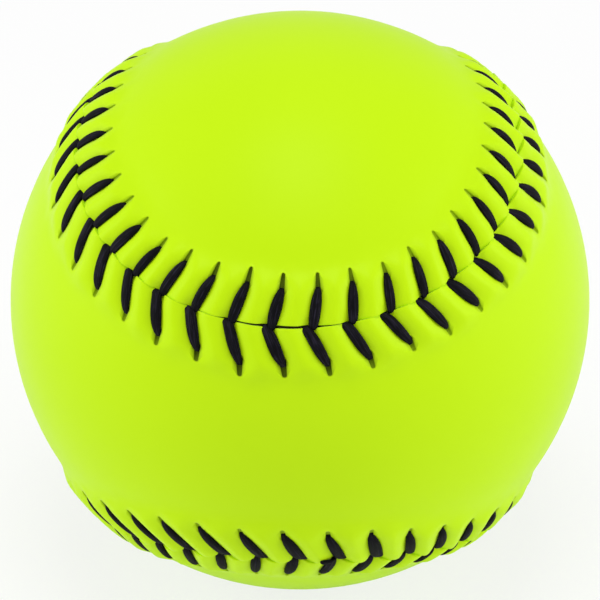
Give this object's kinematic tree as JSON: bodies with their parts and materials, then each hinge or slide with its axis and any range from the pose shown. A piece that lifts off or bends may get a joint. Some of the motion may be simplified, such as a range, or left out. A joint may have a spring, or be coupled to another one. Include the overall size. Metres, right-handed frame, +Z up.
{
  "type": "softball",
  "caption": "Softball with a smooth bright yellow cover in two interlocking figure-eight panels, a raised seam and black chevron stitching.",
  "frame": {"origin": "centre of the ball", "axes": "+Z up, -Y towards the front panel's waist, whose lobes lie at +X and -X; the back panel's lobes lie at +Z and -Z"},
  "size_m": [0.097, 0.097, 0.097],
  "materials": {
    "core_foam": "matte moulded polyurethane",
    "cement": "matte rubber cement",
    "backing_fabric": "matte non-woven backing",
    "cover_yellow": "satin synthetic leather",
    "waxed_thread": "waxed black thread"
  },
  "bodies": {
    "root": {"core": "core_foam", "cement_coat": "cement", "front_panel_backing": "backing_fabric", "front_panel_face": "cover_yellow", "back_panel_backing": "backing_fabric", "back_panel_face": "cover_yellow", "thread_one": "waxed_thread", "thread_two": "waxed_thread"}
  },
  "joints": []
}
